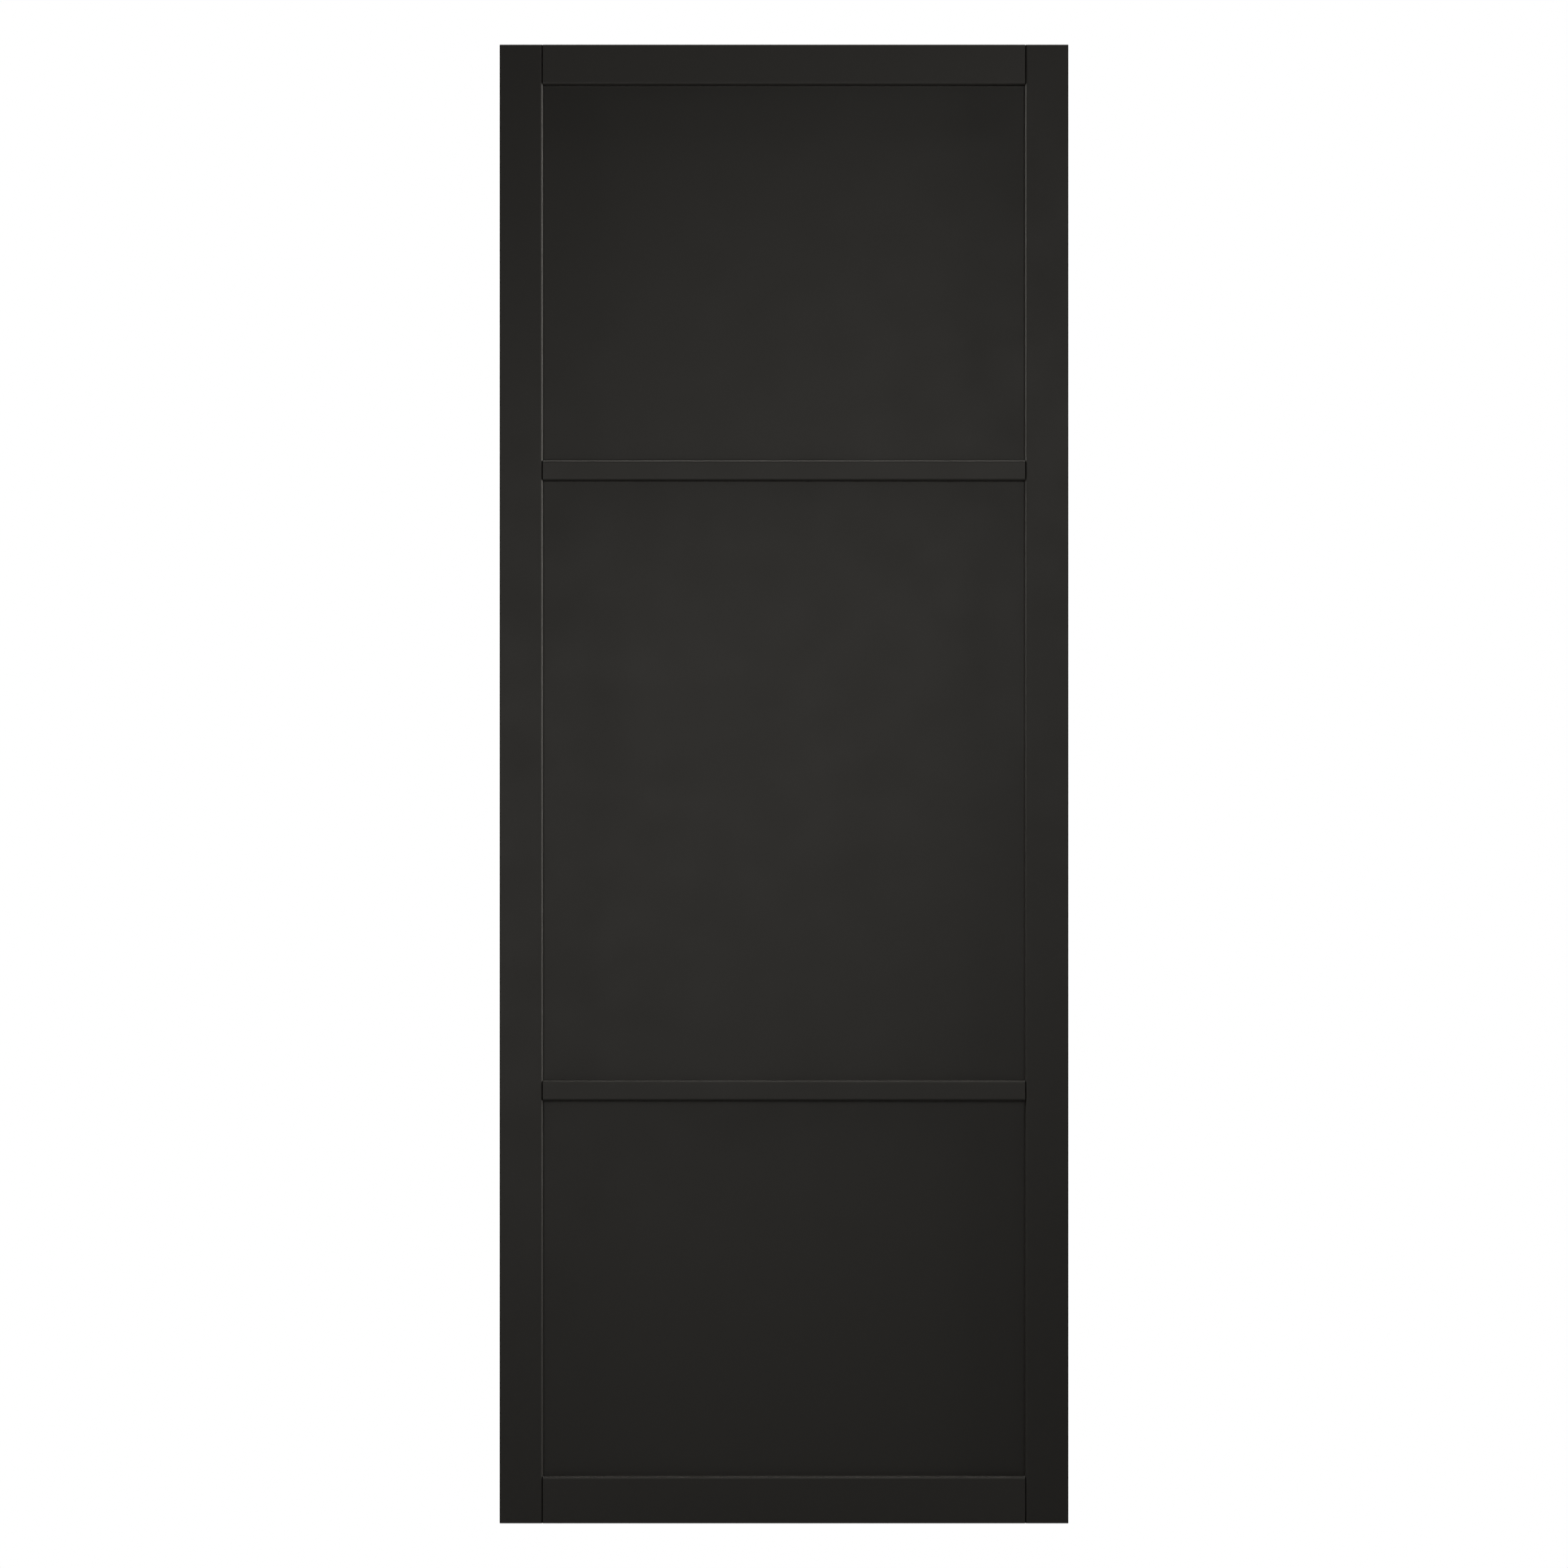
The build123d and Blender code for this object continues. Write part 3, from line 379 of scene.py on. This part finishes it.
@dataclass
class ThreadRidge:
    """The raised right-hand thread on an adjuster screw.

    A trapezium (root edge, crest edge, crest edge, root edge) is carried along a helix: at turn t
    its centre is at start + pitch * t along X, and at the angle 2 * pi * t about the screw's
    axis. It rises out of the core at its start and sinks back at its end, over run_out_turns.
    Its root and crest reach root_half_share and crest_half_share of the pitch to either side.
    """

    core_radius: float = 2.02 * MM
    crest_radius: float = 2.45 * MM
    pitch: float = 0.8 * MM
    root_half_share: float = 0.40
    crest_half_share: float = 0.09
    run_out_turns: float = 0.5
    steps_per_turn: int = 18

    def arrays(self, start: float, end: float, height: float) -> tuple[np.ndarray, np.ndarray]:
        """Works out the ridge's points and faces.

        Args:
            start: X where the thread starts, in metres.
            end: X where it ends.
            height: Z of the screw's axis.

        Returns:
            Points and quads.
        """
        turns = (end - start) / self.pitch
        count = int(turns * self.steps_per_turn) + 1
        turn = np.linspace(0.0, turns, count)[:, None]
        root, crest = self.root_half_share, self.crest_half_share
        shift = np.array([-root, -crest, crest, root]) * self.pitch
        raised = np.array([0.0, 1.0, 1.0, 0.0]) * (self.crest_radius - self.core_radius)
        fade = np.clip(np.minimum(turn, turns - turn) / self.run_out_turns, 0.0, 1.0)
        reach = self.core_radius + raised * fade
        angle = 2 * math.pi * turn
        points = np.stack(
            [
                start + self.pitch * turn + shift,
                reach * np.cos(angle),
                height + reach * np.sin(angle),
            ],
            axis=-1,
        ).reshape(-1, 3)
        corners = len(shift)
        corner = np.arange(corners)
        first = (np.arange(count - 1) * corners)[:, None]
        near, far = first + corner, first + (corner + 1) % corners
        quads = np.stack([near, near + corners, far + corners, far], axis=-1).reshape(-1, corners)
        caps = np.array([corner, corner[::-1] + (count - 1) * corners])
        return points, np.concatenate([quads, caps])


@dataclass
class RollerUnits:
    """The two adjustable rollers let into the bottom rail."""

    dresser: Dresser
    thread: ThreadRidge
    screw_tip_margin: float = 1.2 * MM
    plain_length: float = 7.6 * MM

    def build_threads(self) -> None:
        """Adds the thread of each adjuster screw, between its clip and its tip."""
        for side, sign in SIDES.items():
            low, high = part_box(f"{side}_adjuster_screw")
            height = (low[2] + high[2]) / 2
            head_end, tip = (low[0], high[0]) if sign < 0 else (high[0], low[0])
            ends = sorted((head_end - sign * self.plain_length, tip + sign * self.screw_tip_margin))
            points, quads = self.thread.arrays(*ends, height)
            name = f"{side}_adjuster_thread"
            piece = mesh_piece(name, points, quads, self.dresser.material(ZINC_PLATE))
            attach(piece, f"{side}_adjuster")
            LOG.info("built %s: %d faces", name, len(quads))

    def dress(self) -> None:
        """Puts finishes on every part of both units."""
        self.dresser.dress(ZINC_PLATE, "housing_screws")
        plated = ("roller_housing", "wheel_carrier", "adjuster_screw")
        ground = ("cam_pins", "axle", "bearing_inner_ring", "bearing_outer_ring", "bearing_balls")
        for side in SIDES:
            self.dresser.dress(ZINC_PLATE, *(f"{side}_{part}" for part in plated))
            self.dresser.dress(GROUND_STEEL, *(f"{side}_{part}" for part in ground))
            self.dresser.dress(CAST_ZINC, f"{side}_cam_bar")
            self.dresser.dress(BLACK_OXIDE, f"{side}_adjuster_clip")
            self.dresser.dress(NYLON, f"{side}_wheel")
            self.dresser.dress(BLACK_ABS, f"{side}_adjuster_cap")


@dataclass
class TopGuides:
    """The two slide-up guides let into the top rail."""

    dresser: Dresser

    def dress(self) -> None:
        """Puts finishes on every part of both guides."""
        self.dresser.dress(ZINC_PLATE, "guide_screws")
        moulded = ("guide_case", "guide_bolt", "slot_bezel", "thumb_slide")
        for side in SIDES:
            self.dresser.dress(BLACK_ABS, *(f"{side}_{part}" for part in moulded))
            self.dresser.dress(GROUND_STEEL, f"{side}_guide_pin")
            self.dresser.dress(NYLON, f"{side}_guide_roller")


@dataclass
class Leaf:
    """The framed leaf: stiles, rails, panels and what fixes them together."""

    dresser: Dresser

    def dress(self) -> None:
        """Puts finishes on the board, the dowels and the pads."""
        self.dresser.dress(
            BLACK_FOIL,
            *("left_stile", "right_stile"),
            *("top_rail", "upper_mid_rail", "lower_mid_rail", "bottom_rail"),
            *("upper_panel", "middle_panel", "lower_panel"),
        )
        self.dresser.dress(BEECH, "top_rail_dowels", "bottom_rail_dowels")
        self.dresser.dress(PAD_RUBBER, "panel_pads")


@dataclass
class AntiJumpBlocks:
    """The two blocks at the rear bottom corners that keep the wheels on their rail."""

    dresser: Dresser

    def dress(self) -> None:
        """Puts finishes on blocks and screws."""
        self.dresser.dress(BLACK_ABS, *(f"{side}_anti_jump_block" for side in SIDES))
        self.dresser.dress(BLACK_OXIDE, "anti_jump_screws")


@dataclass
class BrushStrips:
    """The pile strips up the back of both stiles.

    Each fibre is a slim three-sided spike: three root points on a circle, and one tip that leans
    a little. The spikes stand in rows on the tape, over a low dense core that closes the view
    between them.
    """

    dresser: Dresser
    pitch: float = 1.3 * MM
    rows: int = 5
    root_radius: float = 0.42 * MM
    lean: float = 0.55 * MM
    stray_across_mm: float = 0.15
    stray_along_mm: float = 0.35
    shortest_share: float = 0.9
    core_share: float = 0.72
    core_inset: float = 0.4 * MM
    seed: int = 7

    def fibres(self, low: np.ndarray, high: np.ndarray) -> tuple[np.ndarray, np.ndarray]:
        """Works out one strip's spikes.

        Args:
            low: lowest corner of the pile's box.
            high: highest corner.

        Returns:
            Points and triangles.
        """
        rng = np.random.default_rng(self.seed)
        inset = self.root_radius + self.lean
        across = np.linspace(low[0] + inset, high[0] - inset, self.rows)
        along = np.arange(low[2] + inset, high[2] - inset, self.pitch)
        x, z = (grid.ravel() for grid in np.meshgrid(across, along))
        count = len(x)
        x = x + rng.uniform(-self.stray_across_mm, self.stray_across_mm, count) * MM
        z = z + rng.uniform(-self.stray_along_mm, self.stray_along_mm, count) * MM
        thirds = np.arange(3) * 2 * math.pi / 3
        turn = rng.uniform(0, 2 * math.pi, count)[:, None] + thirds
        root = np.stack(
            [
                x[:, None] + self.root_radius * np.cos(turn),
                np.full_like(turn, low[1]),
                z[:, None] + self.root_radius * np.sin(turn),
            ],
            axis=-1,
        )
        height = (high[1] - low[1]) * rng.uniform(self.shortest_share, 1.0, count)
        tip = np.stack(
            [
                x + rng.uniform(-1, 1, count) * self.lean,
                low[1] + height,
                z + rng.uniform(-1, 1, count) * self.lean,
            ],
            axis=-1,
        )
        points = np.concatenate([root, tip[:, None, :]], axis=1)
        spike = np.array([[1, 0, 3], [2, 1, 3], [0, 2, 3], [0, 1, 2]])
        first = np.arange(count)[:, None, None] * points.shape[1]
        return points.reshape(-1, 3), (first + spike).reshape(-1, 3)

    def core(self, low: np.ndarray, high: np.ndarray) -> tuple[np.ndarray, np.ndarray]:
        """Works out the dense core: a box over the pile's length, low and slightly narrow.

        Args:
            low: lowest corner of the pile's box.
            high: highest corner.

        Returns:
            Points and quads.
        """
        top = low[1] + (high[1] - low[1]) * self.core_share
        corners = np.meshgrid(
            [low[0] + self.core_inset, high[0] - self.core_inset],
            [low[1], top],
            [low[2] + self.core_inset, high[2] - self.core_inset],
            indexing="ij",
        )
        points = np.stack([axis.ravel() for axis in corners], axis=-1)
        quads = np.array(
            [[0, 1, 3, 2], [4, 6, 7, 5], [0, 4, 5, 1], [2, 3, 7, 6], [0, 2, 6, 4], [1, 5, 7, 3]]
        )
        return points, quads

    def build(self) -> None:
        """Builds both strips' fibres in place of their solid piles, and dresses the tapes."""
        for side in SIDES:
            node = f"{side}_brush_pile"
            low, high = (np.array(corner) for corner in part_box(node))
            parts = {"brush_fibres": self.fibres(low, high), "brush_core": self.core(low, high)}
            for part, arrays in parts.items():
                piece = mesh_piece(f"{side}_{part}", *arrays, self.dresser.material(PILE_FIBRE))
                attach(piece, "leaf")
                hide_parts(node)
                LOG.info("built %s: %d faces", piece.name, len(piece.data.polygons))
            self.dresser.dress(BACKING_TAPE, f"{side}_brush_base")


# ---------------------------------------------------------------- studio
@dataclass(frozen=True)
class Softbox:
    """A soft rectangular studio light. It lights the object, and stays out of the picture.

    The nodes in kept_off get none of its light, as if a black flag stood between.
    """

    name: str
    place: tuple[float, float, float]
    aim: tuple[float, float, float]
    width: float
    height: float
    watts: float
    kept_off: tuple[str, ...] = ()
    colour: str = "fffbf3"

    def build(self) -> None:
        """Puts the light in place, turned towards its aim, and shades what it is kept off."""
        light = bpy.data.lights.new(self.name, "AREA")
        light.color = linear(self.colour)[:3]
        light.shape = "RECTANGLE"
        light.size = self.width
        light.size_y = self.height
        light.energy = self.watts
        lamp = bpy.data.objects.new(self.name, light)
        lamp.location = self.place
        towards = Vector(self.aim) - Vector(self.place)
        lamp.rotation_euler = towards.to_track_quat("-Z", "Y").to_euler()
        lamp.visible_camera = False
        bpy.context.scene.collection.objects.link(lamp)
        if self.kept_off:
            shaded = bpy.data.collections.new(f"{self.name}_shaded")
            for node in self.kept_off:
                shaded.objects.link(bpy.data.objects[node])
            lamp.light_linking.receiver_collection = shaded
            for member in shaded.collection_objects:
                member.light_linking.link_state = "EXCLUDE"
        LOG.info("placed %s", self.name)


@dataclass
class Studio:
    """Camera, lights, white surround and floor.

    The camera looks along +Y at camera_height and sees view_height at the leaf's front. The
    surround's strength as light goes from front_dim to rear_bright, over the directions whose Y
    runs from dim_until to bright_from.
    """

    camera_height: float = 0.9905
    camera_distance: float = 7.0
    view_height: float = 2.1004
    sensor: float = 36.0
    far_clip: float = 200.0
    floor_size: float = 60.0
    floor_drop: float = 12.0 * MM
    floor_albedo: float = 0.2
    front_dim: float = 0.004
    rear_bright: float = 0.06
    dim_until: float = -0.1
    bright_from: float = 0.5

    def build_camera(self) -> None:
        """A long lens square on to the front, at half the leaf's height."""
        camera = bpy.data.cameras.new("front_camera")
        camera.sensor_width = self.sensor
        camera.lens = self.sensor * self.camera_distance / self.view_height
        camera.clip_end = self.far_clip
        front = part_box("left_stile")[0][1]
        holder = bpy.data.objects.new("front_camera", camera)
        holder.location = (0.0, front - self.camera_distance, self.camera_height)
        holder.rotation_euler = (math.pi / 2, 0.0, 0.0)
        bpy.context.scene.collection.objects.link(holder)
        bpy.context.scene.camera = holder

    def build_lights(self) -> None:
        """Places the lights: soft ones in front, grazing ones, and two for the back.

        The side lights only skim the front, to pick out the rounded edges round the panels. They
        are kept off the stile that is nearer to them, whose outer edge they would turn grey.
        """
        near_right, near_left = (
            (f"{side}_stile", f"{side}_adjuster_cap") for side in ("right", "left")
        )
        for light in (
            Softbox("front_left", (-0.6, -3.0, 0.9), (-0.18, 0.0, 0.95), 0.8, 0.8, 9.1),
            Softbox("front_middle", (0.4, -3.0, 1.5), (0.12, 0.0, 1.25), 0.8, 0.8, 3.7),
            Softbox("front_upper_right", (0.8, -3.0, 1.7), (0.24, 0.0, 1.35), 0.8, 0.8, 6.3),
            Softbox("side_right", (3.0, -0.2, 1.65), (0.0, 0.0, 1.2), 0.6, 2.4, 120.0, near_right),
            Softbox("side_left", (-3.0, -0.2, 2.2), (0.0, 0.0, 1.2), 0.6, 1.2, 65.0, near_left),
            Softbox("overhead", (0.0, -0.25, 4.3), (0.0, 0.0, 1.0), 1.2, 0.5, 34.0),
            Softbox("rear_left", (-2.6, 3.0, 2.2), (0.0, 0.0, 1.0), 1.6, 2.0, 60.0),
            Softbox("rear_right", (2.6, 3.0, 1.6), (0.0, 0.0, 1.0), 1.6, 2.0, 40.0),
        ):
            light.build()

    def build_surround(self) -> None:
        """White all round to the eye; as light it is dim in front of the leaf, brighter behind."""
        world = bpy.data.worlds.new("white_surround")
        tree = clear_tree(world)
        direction = add_node(tree, "ShaderNodeTexCoord").outputs["Generated"]
        depth = add_node(tree, "ShaderNodeSeparateXYZ", {0: direction}).outputs["Y"]
        level = add_node(
            tree,
            "ShaderNodeMapRange",
            {
                "Value": depth,
                "From Min": self.dim_until,
                "From Max": self.bright_from,
                "To Min": self.front_dim,
                "To Max": self.rear_bright,
            },
        ).outputs[0]
        seen = add_node(tree, "ShaderNodeLightPath").outputs["Is Camera Ray"]
        strength = add_node(
            tree, "ShaderNodeMix", {MIX_FACTOR: seen, MIX_VALUE_A: level, MIX_VALUE_B: 1.0}
        ).outputs[0]
        background = add_node(
            tree, "ShaderNodeBackground", {"Color": linear("ffffff"), "Strength": strength}
        ).outputs[0]
        add_node(tree, "ShaderNodeOutputWorld", {"Surface": background})
        bpy.context.scene.world = world

    def build_floor(self) -> None:
        """A plain floor that looks as white as the surround and throws little light back.

        It is low enough to clear the lowered wheels and blocks.
        """
        half = self.floor_size / 2
        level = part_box("bottom_rail")[0][2] - self.floor_drop
        corners = np.array(
            [[x * half, y * half, level] for x, y in ((-1, -1), (1, -1), (1, 1), (-1, 1))]
        )
        material = bpy.data.materials.new("white_studio_floor")
        tree = clear_tree(material)
        seen = add_node(tree, "ShaderNodeLightPath").outputs["Is Camera Ray"]
        grey = (self.floor_albedo,) * 3 + (1.0,)
        paint = add_node(tree, "ShaderNodeBsdfDiffuse", {"Color": grey}).outputs[0]
        glow = add_node(tree, "ShaderNodeEmission", {"Strength": 1.0}).outputs[0]
        both = add_node(tree, "ShaderNodeMixShader", {0: seen, 1: paint, 2: glow}).outputs[0]
        add_node(tree, "ShaderNodeOutputMaterial", {"Surface": both})
        floor = mesh_piece("studio_floor", corners, np.array([[0, 1, 2, 3]]), material)

    def build(self) -> None:
        """Builds the whole studio."""
        self.build_camera()
        self.build_lights()
        self.build_surround()
        self.build_floor()
        bpy.context.scene.view_settings.view_transform = "Standard"
        bpy.context.scene.view_settings.look = "None"


def main() -> None:
    """Builds the studio first, then the door's assemblies in order."""
    logging.basicConfig(level=logging.INFO, format="%(message)s")
    Studio().build()
    dresser = Dresser()
    Leaf(dresser).dress()
    rollers = RollerUnits(dresser, ThreadRidge())
    rollers.build_threads()
    rollers.dress()
    TopGuides(dresser).dress()
    AntiJumpBlocks(dresser).dress()
    BrushStrips(dresser).build()


if __name__ == "__main__":
    main()
